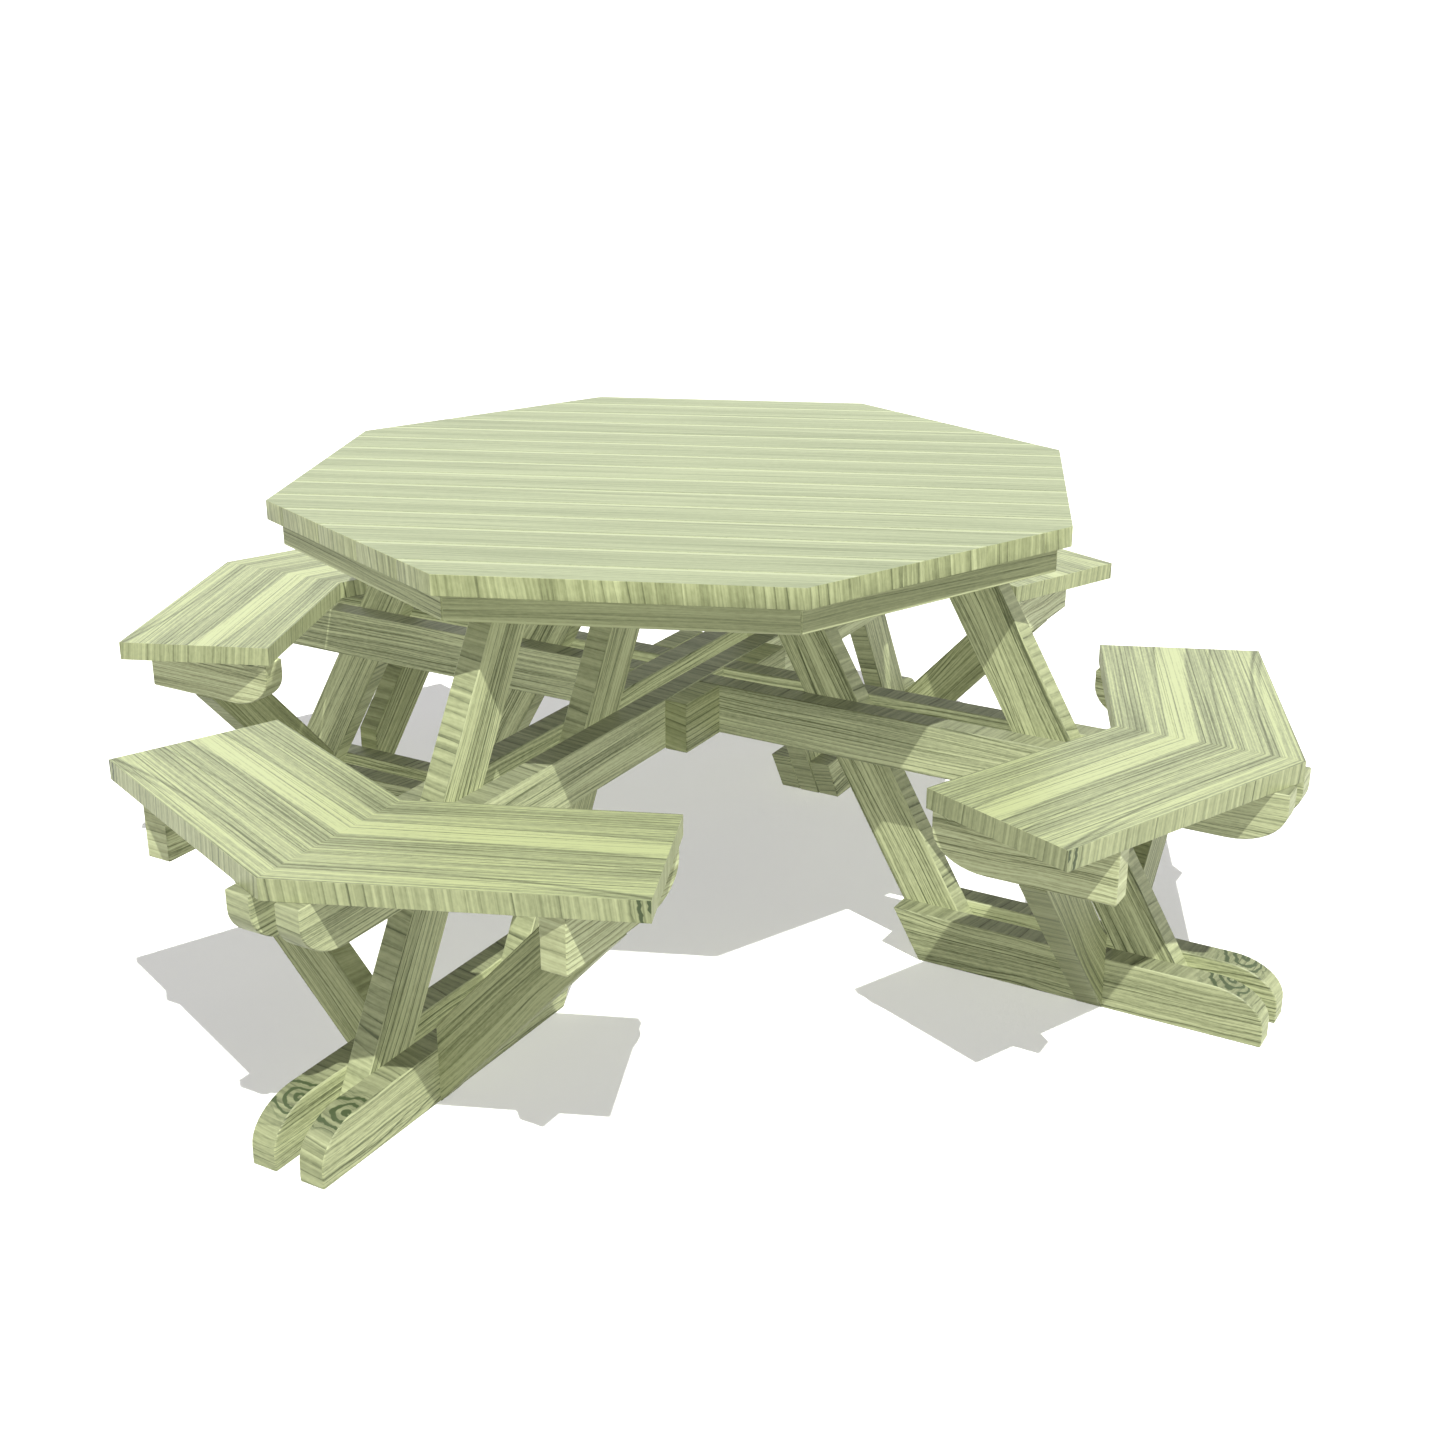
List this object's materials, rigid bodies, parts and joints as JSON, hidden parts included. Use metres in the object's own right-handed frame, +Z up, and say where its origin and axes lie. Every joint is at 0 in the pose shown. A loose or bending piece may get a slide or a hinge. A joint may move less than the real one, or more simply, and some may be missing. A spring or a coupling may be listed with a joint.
{
  "type": "picnic table",
  "caption": "Octagonal timber picnic table with attached chevron bench seats on sloping legs, tied by crossed rails and standing on paired skids.",
  "frame": {"origin": "on the ground, under the middle of the table top", "axes": "+Z up; +X, +Y, -X and -Y each run out along one arm of the frame, to the point of one chevron seat"},
  "size_m": [2.1078, 2.1078, 0.75],
  "materials": {
    "top_timber": "planed softwood boards, pressure treated, pale yellow-green",
    "apron_timber": "planed softwood, pressure treated, olive green",
    "seat_timber": "planed softwood planks, pressure treated, yellow-green with darker growth lines",
    "rail_timber": "planed softwood, pressure treated, olive green",
    "cleat_timber": "planed softwood, pressure treated, olive green",
    "leg_timber": "planed softwood, pressure treated, olive green",
    "skid_timber": "planed softwood, pressure treated, olive green with green knots",
    "bearer_timber": "planed softwood, pressure treated, olive green",
    "strut_timber": "planed softwood, pressure treated, olive green"
  },
  "bodies": {
    "root": {"table_top": "top_timber", "top_cross_bearers": "apron_timber", "apron_1": "apron_timber", "apron_2": "apron_timber", "apron_3": "apron_timber", "apron_4": "apron_timber", "apron_5": "apron_timber", "apron_6": "apron_timber", "apron_7": "apron_timber", "apron_8": "apron_timber", "seat_east_left": "seat_timber", "seat_east_right": "seat_timber", "seat_north_left": "seat_timber", "seat_north_right": "seat_timber", "seat_west_left": "seat_timber", "seat_west_right": "seat_timber", "seat_south_left": "seat_timber", "seat_south_right": "seat_timber", "seat_bearer_east_left": "bearer_timber", "seat_bearer_east_right": "bearer_timber", "seat_bearer_north_left": "bearer_timber", "seat_bearer_north_right": "bearer_timber", "seat_bearer_west_left": "bearer_timber", "seat_bearer_west_right": "bearer_timber", "seat_bearer_south_left": "bearer_timber", "seat_bearer_south_right": "bearer_timber", "strut_east_left": "strut_timber", "strut_east_right": "strut_timber", "strut_north_left": "strut_timber", "strut_north_right": "strut_timber", "strut_west_left": "strut_timber", "strut_west_right": "strut_timber", "strut_south_left": "strut_timber", "strut_south_right": "strut_timber", "leg_east_inner": "leg_timber", "leg_east_outer": "leg_timber", "leg_north_inner": "leg_timber", "leg_north_outer": "leg_timber", "leg_west_inner": "leg_timber", "leg_west_outer": "leg_timber", "leg_south_inner": "leg_timber", "leg_south_outer": "leg_timber", "skid_east_left": "skid_timber", "skid_east_right": "skid_timber", "skid_north_left": "skid_timber", "skid_north_right": "skid_timber", "skid_west_left": "skid_timber", "skid_west_right": "skid_timber", "skid_south_left": "skid_timber", "skid_south_right": "skid_timber", "through_rail_east": "rail_timber", "through_rail_west": "rail_timber", "short_rail_east_left": "rail_timber", "short_rail_east_right": "rail_timber", "short_rail_west_left": "rail_timber", "short_rail_west_right": "rail_timber", "corner_cleat_1": "cleat_timber", "corner_cleat_2": "cleat_timber", "corner_cleat_3": "cleat_timber", "corner_cleat_4": "cleat_timber"}
  },
  "joints": []
}
